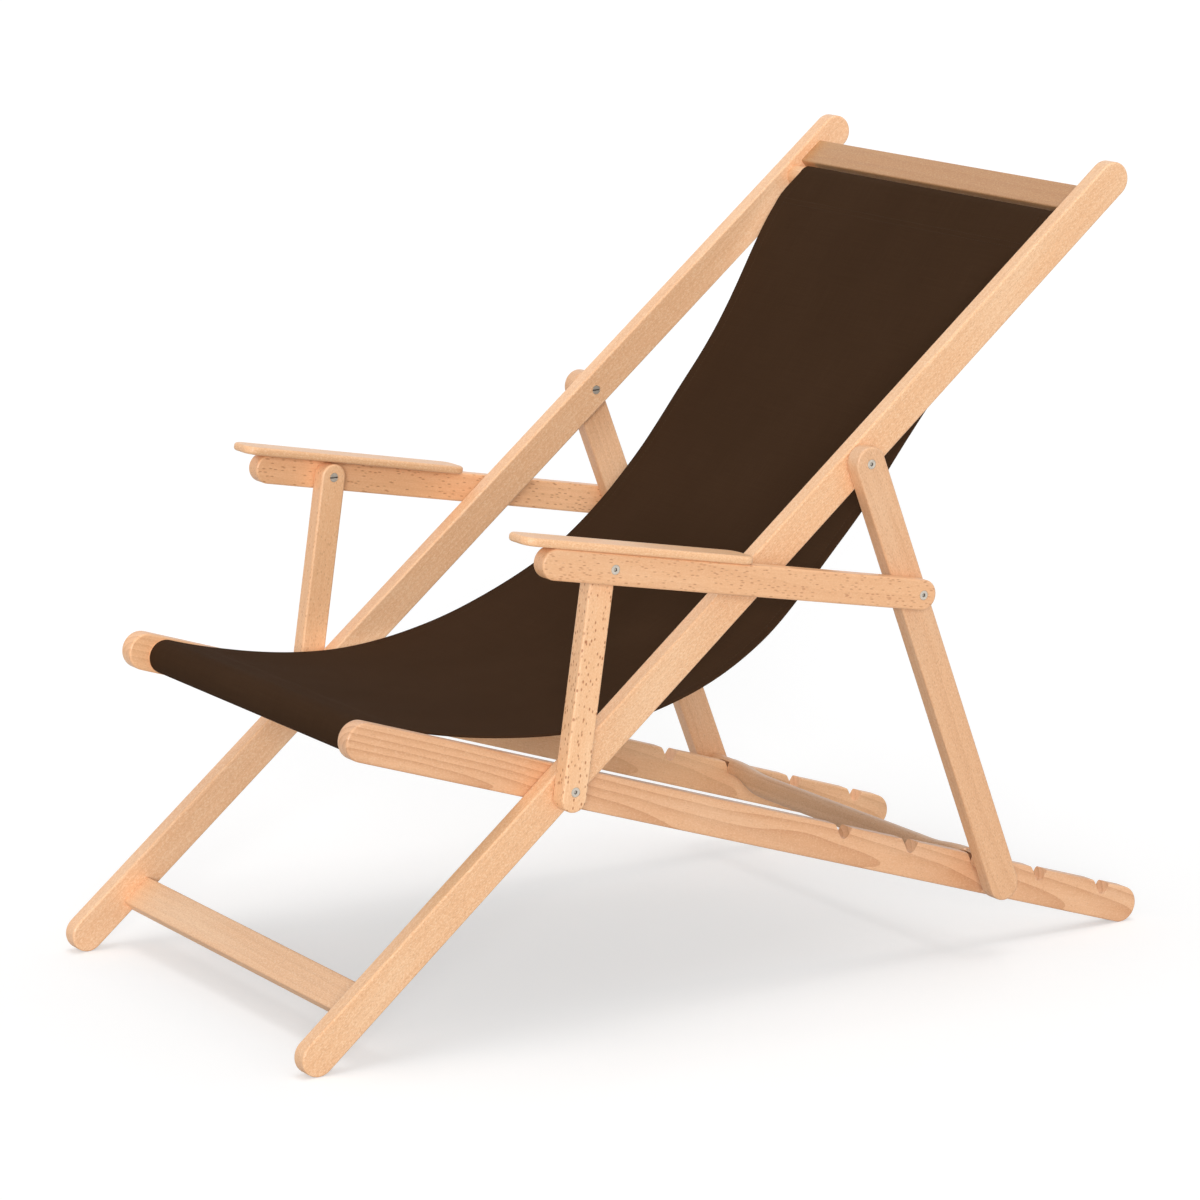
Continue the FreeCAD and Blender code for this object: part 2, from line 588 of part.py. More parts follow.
# Arms: on each side a post, an arm rail and a pad on two dowels


def add_arm_post(name, side):
    placement = board_placement(layer_middle("post", side), CROSSING, post_angle)
    body = add_board(
        f"arm_post_{name}", placement,
        tail="-Sizes.post_foot_length", reach="Sizes.post_pivot_distance", depth="Sizes.post_depth",
    )
    drill_pivots(body, [("crossing", "0"), ("arm", "Sizes.post_pivot_distance")])
    inner, outer = -side, side
    sink_head(body, "crossing_bolt", "0", outer)
    sink_head(body, "arm_sleeve", "Sizes.post_pivot_distance", inner)


def add_arm_rail(name, side):
    placement = board_placement(layer_middle("arm", side), ARM_FRONT, arm_angle)
    body = add_board(
        f"arm_rail_{name}", placement,
        tail="-(Sizes.arm_front_length - Sizes.arm_depth / 2)", reach=ARM_SPAN, depth="Sizes.arm_depth",
    )
    drill_pivots(body, [("front", "0"), ("rear", ARM_SPAN)])
    sink_head(body, "front_bolt", "0", side)
    sink_head(body, "rear_bolt", ARM_SPAN, side)
    holes = new_sketch(body, "dowel_holes", plane="XZ_Plane", height="-Sizes.arm_depth / 2")
    draw_dowel_holes(holes)
    drilled = body.newObject("PartDesign::Pocket", "dowel_bores")
    drilled.Profile = holes
    drilled.Reversed = True
    drilled.setExpression("Length", "Sizes.dowel_rail_depth + Sizes.glue_gap")


def draw_dowel_holes(sketch):
    for name, along in (("front", "-Sizes.dowel_front_distance"), ("rear", "Sizes.dowel_rear_distance")):
        draw_circle(sketch, name, along, "Sizes.dowel_diameter + 2 * Sizes.glue_gap")


pad_inner = main_face + size("board_thickness") + size("pad_play")
pad_outer = LAYERS["arm"] + size("board_thickness") + size("pad_overhang")


def draw_pad_outline(sketch, side):
    """A board seen from above, with round corners; v runs towards world +X from the arm rail's middle."""
    front, rear = -size("pad_front_length"), size("pad_rear_length")
    rail = layer_middle("arm", side)
    low, high = sorted((side * pad_inner - rail, side * pad_outer - rail))
    corner = size("pad_corner_radius")
    diagonal = corner * (1 - math.sqrt(0.5))
    corners = [
        (FreeCAD.Vector(front, low), 1, 1), (FreeCAD.Vector(rear, low), -1, 1),
        (FreeCAD.Vector(rear, high), -1, -1), (FreeCAD.Vector(front, high), 1, -1),
    ]
    arcs = []
    for number, (point, inward_u, inward_v) in enumerate(corners):
        along = point + FreeCAD.Vector(inward_u * corner, 0)
        across = point + FreeCAD.Vector(0, inward_v * corner)
        bulge = point + FreeCAD.Vector(inward_u * diagonal, inward_v * diagonal)
        start, finish = (across, along) if number % 2 == 0 else (along, across)
        arcs.append((start, bulge, finish))
    for arc, following in zip(arcs, arcs[1:] + arcs[:1]):
        sketch.addGeometry(Part.Arc(*arc))
        sketch.addGeometry(Part.LineSegment(arc[2], following[0]))


def add_arm_pad(name, side):
    body = new_body(f"arm_pad_{name}", board_placement(layer_middle("arm", side), ARM_FRONT, arm_angle))
    middle = "Sizes.arm_depth / 2 + Sizes.pad_thickness / 2"
    outline = new_sketch(body, "outline", plane="XZ_Plane", height=f"-({middle})")
    draw_pad_outline(outline, side)
    blank = pad(body, "blank", outline, "Sizes.pad_thickness")
    round_edges(body, blank, "Sizes.pad_edge_round", axis=FreeCAD.Vector(0, 1, 0))
    holes = new_sketch(body, "dowel_holes", plane="XZ_Plane", height="-Sizes.arm_depth / 2")
    draw_dowel_holes(holes)
    drilled = body.newObject("PartDesign::Pocket", "dowel_bores")
    drilled.Profile = holes
    drilled.setExpression("Length", "Sizes.dowel_pad_depth + Sizes.glue_gap")


def add_dowels(name, side):
    dowels = []
    turn = FreeCAD.Rotation(X_AXIS, arm_angle)
    for spot, along in (("front", -size("dowel_front_distance")), ("rear", size("dowel_rear_distance"))):
        dowel = doc.addObject("Part::Cylinder", f"{spot}_dowel_{name}")
        dowel.setExpression("Radius", "Sizes.dowel_diameter / 2")
        dowel.setExpression("Height", "Sizes.dowel_pad_depth + Sizes.dowel_rail_depth")
        foot = ARM_FRONT + heading(arm_angle) * along
        foot += heading(arm_angle + 90) * (size("arm_depth") / 2 - size("dowel_rail_depth"))
        foot.x = layer_middle("arm", side)
        dowel.Placement = FreeCAD.Placement(foot, turn)
        dowels.append(dowel)
    add_group(f"arm_pad_dowels_{name}", dowels)


# Pivot fasteners: a sleeve with a slotted head, and a bolt that screws into it


def add_group(label, members):
    group = doc.addObject("Part::Compound", label)
    group.Label = label
    group.Links = members


def add_cylinder(label, diameter, length, across, pivot, side):
    """A cylinder from a distance across the chair, pointing outwards."""
    cylinder = doc.addObject("Part::Cylinder", label)
    cylinder.setExpression("Radius", f"({diameter}) / 2")
    cylinder.setExpression("Height", length)
    place = FreeCAD.Vector(side * across, pivot.y, pivot.z)
    cylinder.Placement = FreeCAD.Placement(place, FreeCAD.Rotation(FreeCAD.Vector(0, 1, 0), 90 * side))
    return cylinder


def fuse(label, base, tool):
    joined = doc.addObject("Part::Fuse", label)
    joined.Base = base
    joined.Tool = tool
    return joined


def cut(label, base, tool):
    rest = doc.addObject("Part::Cut", label)
    rest.Base = base
    rest.Tool = tool
    return rest


HEAD_STACK = "(Sizes.head_recess + Sizes.head_thickness)"


def stack_length(boards):
    """Thickness of a stack of boards with the gaps between them, as an expression."""
    return f"({boards} * Sizes.board_thickness + {boards - 1} * Sizes.layer_gap)"


def add_sleeve(label, pivot, side, layer, boards, bored=True):
    """A sleeve whose head is sunk in the inner face of a layer; the barrel goes through the boards."""
    start = LAYERS[layer] + size("head_recess")
    head = add_cylinder(f"{label}_head", "Sizes.head_diameter", "Sizes.head_thickness", start, pivot, side)
    if bored:
        length = f"{stack_length(boards)} - {HEAD_STACK} - Sizes.head_recess"
    else:
        length = f"{stack_length(boards)} - Sizes.head_recess"
    barrel = add_cylinder(f"{label}_barrel", "Sizes.barrel_diameter", length, start, pivot, side)
    solid = fuse(f"{label}_solid", head, barrel)
    slot = doc.addObject("Part::Box", f"{label}_slot")
    slot.setExpression("Length", "Sizes.socket_depth")
    slot.setExpression("Width", "Sizes.head_diameter")
    slot.setExpression("Height", "Sizes.slot_width")
    inner = start if side > 0 else -start - size("socket_depth")
    middle = FreeCAD.Vector(inner, pivot.y - size("head_diameter") / 2, pivot.z - size("slot_width") / 2)
    slot.Placement.Base = middle
    slotted = cut(f"{label}_slotted", solid, slot)
    if not bored:
        return slotted
    reach = size("bolt_reach")
    end = LAYERS[layer] + boards * board_step - size("layer_gap") - size("head_recess") - size("head_thickness")
    bore = add_cylinder(
        f"{label}_bore", "Sizes.bolt_diameter + 2 * Sizes.bolt_play",
        "Sizes.bolt_reach + Sizes.head_thickness", end - reach, pivot, side,
    )
    return cut(f"{label}_sleeve", slotted, bore)


def add_bolt(label, pivot, side, layer, reach):
    """A bolt whose head is sunk in the outer face of a layer; its shank points inwards."""
    outer = LAYERS[layer] + size("board_thickness") - size("head_recess")
    inner = outer - size("head_thickness")
    head = add_cylinder(f"{label}_head", "Sizes.head_diameter", "Sizes.head_thickness", inner, pivot, side)
    diameter, length, depth = reach
    shank = add_cylinder(f"{label}_shank", diameter, length, outer - depth, pivot, side)
    solid = fuse(f"{label}_solid", head, shank)
    socket = doc.addObject("Part::Prism", f"{label}_socket")
    socket.Polygon = 6
    socket.setExpression("Circumradius", "Sizes.socket_width / sqrt(3)")
    socket.setExpression("Height", "Sizes.socket_depth")
    place = FreeCAD.Vector(side * (outer - size("socket_depth")), pivot.y, pivot.z)
    socket.Placement = FreeCAD.Placement(place, FreeCAD.Rotation(FreeCAD.Vector(0, 1, 0), 90 * side))
    return cut(f"{label}_bolt", solid, socket)


def screw_reach():
    """Shank of a bolt in its sleeve: diameter, length, and the distance of its tip from the outer end."""
    length = "Sizes.bolt_reach + Sizes.head_thickness - Sizes.bolt_play"
    return "Sizes.bolt_diameter", length, size("bolt_reach") + size("head_thickness") - size("bolt_play")


def pin_reach():
    """Shank of the half bolt at the open pivot, which ends at the inner face of its board."""
    length = "Sizes.board_thickness - Sizes.head_recess"
    return "Sizes.barrel_diameter", length, size("board_thickness") - size("head_recess")


def add_washer(label, pivot, side, layer):
    """A washer in the gap outside a layer."""
    across = LAYERS[layer] + size("board_thickness") + size("washer_play")
    thickness = "Sizes.layer_gap - 2 * Sizes.washer_play"
    disc = add_cylinder(f"{label}_disc", "Sizes.washer_diameter", thickness, across, pivot, side)
    hole = add_cylinder(
        f"{label}_hole", "Sizes.barrel_diameter + 2 * Sizes.barrel_play", thickness, across, pivot, side)
    return cut(f"{label}_washer", disc, hole)


def add_fasteners():
    crossing_sleeves, crossing_bolts, prop_sleeves, prop_bolts, washers, rear_sleeves = [], [], [], [], [], []
    for name, side in SIDES.items():
        crossing_sleeves.append(add_sleeve(f"crossing_{name}_s", CROSSING, side, "seat", 3))
        crossing_bolts.append(add_bolt(f"crossing_{name}_b", CROSSING, side, "post", screw_reach()))
        prop_sleeves.append(add_sleeve(f"prop_{name}_s", PROP_PIVOT, side, "main", 2))
        prop_bolts.append(add_bolt(f"prop_{name}_b", PROP_PIVOT, side, "post", screw_reach()))
        washers.append(add_washer(f"crossing_inner_{name}", CROSSING, side, "seat"))
        washers.append(add_washer(f"crossing_outer_{name}", CROSSING, side, "main"))
        washers.append(add_washer(f"prop_{name}", PROP_PIVOT, side, "main"))
        rear_sleeves.append(add_sleeve(f"rear_{name}_s", ARM_REAR, side, "post", 1, bored=False))
        add_group(f"arm_front_sleeve_{name}", [add_sleeve(f"front_{name}_s", ARM_FRONT, side, "post", 2)])
        add_group(f"arm_front_bolt_{name}", [add_bolt(f"front_{name}_b", ARM_FRONT, side, "arm", screw_reach())])
        add_group(f"arm_washer_{name}", [add_washer(f"front_{name}", ARM_FRONT, side, "post")])
        add_group(f"arm_rear_bolt_{name}", [add_bolt(f"rear_{name}_b", ARM_REAR, side, "arm", pin_reach())])
    add_group("crossing_sleeves", crossing_sleeves)
    add_group("crossing_bolts", crossing_bolts)
    add_group("prop_pivot_sleeves", prop_sleeves)
    add_group("prop_pivot_bolts", prop_bolts)
    add_group("pivot_washers", washers)
    add_group("arm_rear_sleeves", rear_sleeves)


# Sling: one sheet that hangs from the top rod to the front bar, with a tunnel round each

SEAM_LIFT = 0.75  # panel's middle above the inside of a tunnel, in thicknesses of the cloth


def sheet_normal(angle):
    """Upper side of the cloth where it slopes by an angle."""
    return heading(angle + 90)


def sling_curve():
    """The sheet's middle line: start, end of the flat stretch, end, and two bends that meet smoothly."""
    lift = size("sling_play") + SEAM_LIFT * size("sling_thickness")
    back, front = size("sling_back_angle"), -size("sling_front_angle")
    start = TOP_ROD + sheet_normal(back) * (size("top_rod_diameter") / 2 + lift)
    bend_start = start - heading(back) * size("sling_straight_run")
    finish = FRONT_BAR + sheet_normal(front) * (size("front_bar_diameter") / 2 + lift)
    share = size("sling_bend_share")
    way = bend_start - finish
    turn = 2 * share * (1 - heading(back).dot(heading(front)))
    lean = way.dot(heading(back) + heading(front) * share)
    reach = (math.sqrt(lean**2 + turn * way.dot(way)) - lean) / turn
    back_corner = bend_start - heading(back) * reach
    seat_corner = finish + heading(front) * share * reach
    meeting = back_corner + (seat_corner - back_corner) / (1 + share)
    meeting_angle = slope(back_corner - seat_corner)
    back_bend = bend_centre(bend_start, back, meeting) + (back, meeting_angle)
    seat_bend = bend_centre(finish, front, meeting) + (meeting_angle, front)
    return start, bend_start, finish, back_bend, seat_bend


def bend_centre(point, angle, other):
    """Centre and radius of the bend that leaves a point at a slope and passes another point."""
    chord = other - point
    radius = chord.dot(chord) / (2 * chord.dot(sheet_normal(angle)))
    return point + sheet_normal(angle) * radius, radius


def bend_edge(bend, offset):
    """One edge of a bend: an arc at an offset above the cloth's middle line."""
    centre, radius, first, last = bend
    reach = radius - offset
    stops = [centre - sheet_normal(angle) * reach for angle in (first, (first + last) / 2, last)]
    return Part.Arc(*stops).toShape()


def add_sling():
    cloth = size("sling_thickness")
    start, bend_start, finish, back_bend, seat_bend = sling_curve()
    half = cloth / 2
    back, front = size("sling_back_angle"), -size("sling_front_angle")
    edges = []
    for offset in (half, -half):
        shift = sheet_normal(back) * offset
        edges.append(Part.makeLine(start + shift, bend_start + shift))
        edges.append(bend_edge(back_bend, offset))
        edges.append(bend_edge(seat_bend, offset))
    edges.append(Part.makeLine(start + sheet_normal(back) * half, start - sheet_normal(back) * half))
    edges.append(Part.makeLine(finish + sheet_normal(front) * half, finish - sheet_normal(front) * half))
    outline = Part.Wire(Part.__sortEdges__(edges))
    width = 2 * (LAYERS["seat"] - size("sling_side_gap"))
    side_start = FreeCAD.Vector(-width / 2, 0, 0)
    panel = Part.Face(outline).extrude(X_AXIS * width)
    panel.translate(side_start)
    tunnels = []
    for centre, rod in ((TOP_ROD, "top_rod_diameter"), (FRONT_BAR, "front_bar_diameter")):
        inside = size(rod) / 2 + size("sling_play")
        foot = centre + side_start
        outer = Part.makeCylinder(inside + cloth, width, foot, X_AXIS)
        tunnels.append(outer.cut(Part.makeCylinder(inside, width, foot, X_AXIS)))
    sling = doc.addObject("Part::Feature", "sling")
    sling.Label = "sling"
    sling.Shape = panel.fuse(tunnels).removeSplitter().Solids[0]


for side_name, side_sign in SIDES.items():
    add_main_rail(side_name, side_sign)
    add_seat_rail(side_name, side_sign)
    add_prop_leg(side_name, side_sign)
    add_arm_post(side_name, side_sign)
    add_arm_rail(side_name, side_sign)
    add_arm_pad(side_name, side_sign)
    add_dowels(side_name, side_sign)
add_crossbar("top_crossbar", top_bar_along, 0, "top_bar")
add_crossbar("foot_crossbar", -foot_bar_along, -foot_bar_drop, "foot_bar")
add_rod(
    "top_sling_rod", TOP_ROD, "Sizes.top_rod_diameter",
    "Sizes.main_inner_width + 2 * Sizes.top_rod_seat_depth",
)
add_rod(
    "front_sling_bar", FRONT_BAR, "Sizes.front_bar_diameter", SEAT_INNER_WIDTH,
    "Sizes.front_tenon_diameter", "Sizes.tenon_length",
)
add_prop_bar()
add_fasteners()
add_sling()
doc.recompute()

NODES = [
    "top_crossbar", "foot_crossbar", "top_sling_rod", "sling", "front_sling_bar", "prop_crossbar",
    "crossing_sleeves", "crossing_bolts", "prop_pivot_sleeves", "prop_pivot_bolts", "pivot_washers",
    "arm_rear_sleeves",
]
for side_name in SIDES:
    for piece in ("main_rail", "seat_rail", "prop_leg", "arm_post", "arm_rail", "arm_pad", "arm_pad_dowels",
                  "arm_front_sleeve", "arm_front_bolt", "arm_washer", "arm_rear_bolt"):
        NODES.append(f"{piece}_{side_name}")

for item in doc.Objects:
    if "Invalid" in item.State or "Error" in item.State:
        raise RuntimeError(f"{item.Label} failed to build")
pieces = {}
for node in NODES:
    piece = doc.getObjectsByLabel(node)[0]
    if piece.Shape.isNull() or not piece.Shape.isValid():
        raise RuntimeError(f"{node} has no valid shape")
    pieces[node] = piece.Shape
os.makedirs("parts", exist_ok=True)
for node, shape in pieces.items():
    shape.exportStep(f"parts/{node}.step")
print(f"crossing {tuple(CROSSING)}")
print(f"prop pivot {tuple(PROP_PIVOT)}")
print(f"arm front {tuple(ARM_FRONT)}")
print(f"arm rear {tuple(ARM_REAR)}")
print(f"angles main {main_tilt} seat {seat_tilt} prop {prop_angle} post {post_angle} arm {arm_angle}")
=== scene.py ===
import math
from dataclasses import dataclass, replace

import bmesh
import bpy
from mathutils import Matrix, Vector


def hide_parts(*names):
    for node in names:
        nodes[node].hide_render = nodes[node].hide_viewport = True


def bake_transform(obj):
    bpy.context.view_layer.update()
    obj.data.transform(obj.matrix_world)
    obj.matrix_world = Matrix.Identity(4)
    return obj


# Looks of a folding deck chair: beech boards, plated pivot bolts and a hanging cloth sling.
# Metres, +Z up, +Y to the back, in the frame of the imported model.

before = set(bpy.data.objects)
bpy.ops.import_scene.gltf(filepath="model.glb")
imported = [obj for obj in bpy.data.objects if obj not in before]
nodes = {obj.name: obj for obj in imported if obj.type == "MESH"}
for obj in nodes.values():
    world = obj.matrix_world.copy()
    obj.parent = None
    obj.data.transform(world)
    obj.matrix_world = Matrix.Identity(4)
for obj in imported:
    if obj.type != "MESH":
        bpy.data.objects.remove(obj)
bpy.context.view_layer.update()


# Camera, light and floor


CAMERA_ANGLES = (57.12, 12.28, 0.53)
CAMERA_PLACE = (4.152, -2.7059, 1.4631)
CAMERA_LENS, CAMERA_SENSOR = 138.5, 36


def add_camera():
    """A long lens at the picture's angle, from the chair's front right and a little above."""
    azimuth, elevation, roll = (math.radians(angle) for angle in CAMERA_ANGLES)
    level_reach = math.cos(elevation)
    back = Vector((math.sin(azimuth) * level_reach, -math.cos(azimuth) * level_reach, math.sin(elevation)))
    level = Vector((math.cos(azimuth), math.sin(azimuth), 0))
    upright = back.cross(level)
    right = level * math.cos(roll) + upright * math.sin(roll)
    up = upright * math.cos(roll) - level * math.sin(roll)
    data = bpy.data.cameras.new("camera")
    data.sensor_width = CAMERA_SENSOR
    data.lens = CAMERA_LENS
    camera = bpy.data.objects.new("camera", data)
    bpy.context.collection.objects.link(camera)
    turn = Matrix((right, up, back)).transposed().to_4x4()
    camera.matrix_world = Matrix.Translation(CAMERA_PLACE) @ turn
    bpy.context.scene.camera = camera


def add_sun(name, towards, strength, spread):
    """A wide sun lamp, which lights the whole floor evenly, from the direction that it stands in."""
    data = bpy.data.lights.new(name, "SUN")
    data.energy = strength
    data.angle = math.radians(spread)
    lamp = bpy.data.objects.new(name, data)
    bpy.context.collection.objects.link(lamp)
    lamp.rotation_mode = "QUATERNION"
    lamp.rotation_quaternion = Vector(towards).to_track_quat("Z", "Y")


SOFT_LIGHT, BACKDROP_WHITE = 0.55, 1.0


def light_scene():
    """Two sun lamps, and a white world that lights the chair less brightly than it shows."""
    add_sun("front_light", towards=(0.82, -0.535, 0.22), strength=1.78, spread=18)
    add_sun("top_light", towards=(0.0, 0.06, 1.0), strength=0.83, spread=34)
    world = bpy.data.worlds.new("studio")
    bpy.context.scene.world = world
    world.use_nodes = True
    tree = world.node_tree
    backdrop = tree.nodes["Background"]
    rays = tree.nodes.new("ShaderNodeLightPath")
    seen = tree.nodes.new("ShaderNodeMath")
    seen.operation = "MAXIMUM"
    tree.links.new(rays.outputs["Is Camera Ray"], seen.inputs[0])
    tree.links.new(rays.outputs["Is Glossy Ray"], seen.inputs[1])
    level = tree.nodes.new("ShaderNodeMapRange")
    level.inputs["To Min"].default_value = SOFT_LIGHT
    level.inputs["To Max"].default_value = BACKDROP_WHITE
    tree.links.new(seen.outputs[0], level.inputs["Value"])
    backdrop.inputs["Color"].default_value = (1, 1, 1, 1)
    tree.links.new(level.outputs["Result"], backdrop.inputs["Strength"])


FLOOR_REACH = 40
FLOOR_GREY = (0.64, 0.64, 0.64, 1)
FLOOR_GLOW = 0.43


def add_floor():
    mesh = bpy.data.meshes.new("floor")
    corners = [(x * FLOOR_REACH, y * FLOOR_REACH, 0) for x, y in ((-1, -1), (1, -1), (1, 1), (-1, 1))]
    mesh.from_pydata(corners, [], [(0, 1, 2, 3)])
    floor = bpy.data.objects.new("floor", mesh)
    bpy.context.collection.objects.link(floor)
    shader = Shader("pale_floor")
    shader.set({"Base Color": FLOOR_GREY, "Roughness": 0.9, "Specular IOR Level": 0.1})
    rays = shader.add("ShaderNodeLightPath")
    glow = shader.math("MULTIPLY", rays.outputs["Is Camera Ray"], FLOOR_GLOW)
    shader.set({"Emission Color": (1, 1, 1, 1), "Emission Strength": glow})
    mesh.materials.append(shader.material)


# Shader helpers


class Shader:
    """A node material with one Principled surface, and short calls to add nodes to it."""

    def __init__(self, name):
        self.material = bpy.data.materials.new(name)
        self.material.use_nodes = True
        self.tree = self.material.node_tree
        self.surface = self.tree.nodes["Principled BSDF"]

    def feed(self, socket, value):
        if isinstance(value, bpy.types.NodeSocket):
            self.tree.links.new(value, socket)
        else:
            socket.default_value = value

    def set(self, values):
        for name, value in values.items():
            self.feed(self.surface.inputs[name], value)

    def add(self, kind, values=None, **settings):
        made = self.tree.nodes.new(kind)
        for name, value in settings.items():
            setattr(made, name, value)
        for name, value in (values or {}).items():
            self.feed(made.inputs[name], value)
        return made

    def math(self, operation, first, second=0.0):
        made = self.add("ShaderNodeMath", operation=operation)
        self.feed(made.inputs[0], first)
        self.feed(made.inputs[1], second)
        return made.outputs[0]

    def ramp(self, value, low, high, to_low=0.0, to_high=1.0):
        """A smooth step of a value between two limits."""
        made = self.add("ShaderNodeMapRange", interpolation_type="SMOOTHSTEP")
        for name, number in zip(("Value", "From Min", "From Max", "To Min", "To Max"),
                                (value, low, high, to_low, to_high)):
            self.feed(made.inputs[name], number)
        return made.outputs["Result"]

    def mix(self, share, first, second):
        made = self.add("ShaderNodeMix", data_type="RGBA")
        self.feed(made.inputs[0], share)
        self.feed(made.inputs[6], first)
        self.feed(made.inputs[7], second)
        return made.outputs[2]

    def place(self, vector, location=(0, 0, 0), rotation=(0, 0, 0), scale=(1, 1, 1)):
        values = {"Vector": vector, "Location": location, "Rotation": rotation, "Scale": scale}
        return self.add("ShaderNodeMapping", values).outputs["Vector"]

    def noise(self, vector, scale, detail=2.0, roughness=0.5):
        values = {"Vector": vector, "Scale": scale, "Detail": detail, "Roughness": roughness}
        return self.add("ShaderNodeTexNoise", values).outputs["Fac"]

    def bump(self, height, distance, strength=1.0):
        values = {"Height": height, "Distance": distance, "Strength": strength}
        self.set({"Normal": self.add("ShaderNodeBump", values).outputs["Normal"]})


# Beech: growth rings, fibres, short dark flecks and pale specks that follow each board

BEECH = (0.875, 0.510, 0.272)
BEECH_RING = (0.660, 0.325, 0.150)
BEECH_PALE = (0.960, 0.680, 0.430)
BEECH_FLECK = (0.420, 0.150, 0.055)


# Noise cells to a metre: across the board, along its grain, and through it
DRIFT, MOTTLE, FIBRE, SPECK = (6, 1.6, 6), (30, 5, 30), (620, 9, 620), (760, 430, 760)
RING_SCALE = 42.0


@dataclass
class Cut:
    """How a board was cut: its slope, and how strongly rings, flecks and specks show on it.

    Flecks lie in cells, so many to a metre across and along the grain, and a spot is their size in a cell.
    """

    slope: float = 0.0
    rings: float = 0.3
    flecks: float = 0.4
    specks: float = 0.3
    cells: tuple = (900, 170)
    spot: float = 0.36
    tone: tuple = (1, 1, 1)
    lean: float = 0.0


def beech(name, cut, turn, shift):
    """Beech whose grain runs along the board: turn lays the board along y, shift moves it in the log."""
    plain, ring, pale, dark = (
        tuple(part * share for part, share in zip(colour, cut.tone)) + (1,)
        for colour in (BEECH, BEECH_RING, BEECH_PALE, BEECH_FLECK))
    shader = Shader(name)
    point = shader.add("ShaderNodeTexCoord").outputs["Object"]
    board = shader.place(point, rotation=turn)
    log = shader.place(board, location=shift, rotation=(0, 0, cut.lean))
    drift = shader.noise(shader.place(log, scale=DRIFT), 1.0, detail=3)
    bent = shader.add("ShaderNodeVectorMath", operation="MULTIPLY_ADD")
    shader.feed(bent.inputs[0], drift)
    shader.feed(bent.inputs[1], (0.03, 0.0, 0.03))
    shader.feed(bent.inputs[2], shader.place(log, scale=(1, 0.05, 1)))
    rings = shader.add(
        "ShaderNodeTexWave",
        {"Vector": bent.outputs[0], "Scale": RING_SCALE, "Distortion": 1.2, "Detail": 2.0},
        wave_type="RINGS", rings_direction="Y", wave_profile="SAW",
    ).outputs["Fac"]
    fibre = shader.noise(shader.place(log, scale=FIBRE), 1.0, detail=3, roughness=0.6)
    mottle = shader.noise(shader.place(log, scale=MOTTLE), 1.0, detail=4)
    across, along = cut.cells
    cells = shader.add("ShaderNodeTexVoronoi", {
        "Vector": shader.place(log, scale=(across, along, across)), "Scale": 1.0, "Randomness": 1.0})
    pick = shader.add("ShaderNodeSeparateColor", {"Color": cells.outputs["Color"]}).outputs["Red"]
    near = shader.ramp(cells.outputs["Distance"], cut.spot / 3, cut.spot, 1.0, 0.0)
    fleck = shader.math("MULTIPLY", near, shader.ramp(pick, 0.10, 0.85))
    speck = shader.noise(shader.place(log, scale=SPECK), 1.0, detail=1)
    colour = shader.mix(shader.math("MULTIPLY", shader.math("POWER", rings, 2.0), cut.rings), plain, ring)
    colour = shader.mix(shader.ramp(mottle, 0.45, 0.75, 0.0, 0.35), colour, pale)
    colour = shader.mix(shader.ramp(fibre, 0.35, 0.75, 0.20, 0.0), colour, ring)
    colour = shader.mix(shader.ramp(speck, 0.50, 0.70, 0.0, cut.specks), colour, pale)
    colour = shader.mix(shader.ramp(speck, 0.30, 0.50, cut.specks * 0.5, 0.0), colour, ring)
    colour = shader.mix(shader.math("MULTIPLY", fleck, cut.flecks), colour, dark)
    shader.set({
        "Base Color": colour, "Roughness": shader.ramp(fibre, 0.2, 0.8, 0.36, 0.52),
        "Coat Weight": 0.2, "Coat Roughness": 0.2,
    })
    shader.bump(shader.math("SUBTRACT", fibre, shader.math("MULTIPLY", fleck, 0.8)), distance=0.00012)
    return shader.material


def paint(node, material):
    for slot in nodes[node].material_slots:
        slot.material = material


MAIN_TILT, SEAT_TILT, PROP_TILT, POST_TILT, ARM_TILT = (
    math.radians(angle) for angle in (40, -17.657, -68.304, 82.047, -10.053))
ACROSS = (0, 0, math.pi / 2)
SEAT_RAIL_LEVEL = 0.1787

BOARDS = {
    "main_rail": Cut(MAIN_TILT, rings=0.22, flecks=0.35, specks=0.45, tone=(1.02, 1.04, 1.07)),
    "seat_rail": Cut(SEAT_TILT, rings=0.95, flecks=0.30, specks=0.25, tone=(0.94, 0.92, 0.95), lean=-0.05),
    "prop_leg": Cut(PROP_TILT, rings=0.30, flecks=0.45, specks=0.35, tone=(0.92, 0.91, 0.93)),
    "arm_post": Cut(
        POST_TILT, rings=0.15, flecks=0.50, specks=0.30, cells=(320, 160), tone=(1.05, 1.06, 1.08)),
    "arm_rail": Cut(
        ARM_TILT, rings=0.20, flecks=0.65, specks=0.20, cells=(380, 110), tone=(0.98, 0.95, 0.94)),
    "arm_pad": Cut(ARM_TILT, rings=0.25, flecks=0.25, specks=0.40, tone=(1.03, 1.04, 1.05)),
    "arm_pad_dowels": Cut(ARM_TILT),
}
SINGLE_BOARDS = {
    # The left boards are set paler than their right twins. That is mostly painted light: it lifts the left
    # boards' faces towards the camera, which lie in the sling's shade and get less light from the room, to
    # the brightness of the lit right boards. The left main rail's slightly pinker cast is its own colour,
    # and the left seat rail's fainter rings partly serve the same painted lightening.
    "main_rail_left": replace(BOARDS["main_rail"], tone=(1.06, 1.08, 1.14)),
    "seat_rail_left": replace(BOARDS["seat_rail"], rings=0.60, tone=(1.07, 1.05, 1.05)),
    "arm_post_left": replace(BOARDS["arm_post"], tone=(1.09, 1.10, 1.12)),
    "arm_post_right": replace(
        BOARDS["arm_post"], flecks=0.95, cells=(340, 180), spot=0.46, tone=(1.07, 1.09, 1.11)),
    "arm_rail_left": replace(BOARDS["arm_rail"], tone=(1.03, 1.01, 1.00)),
}
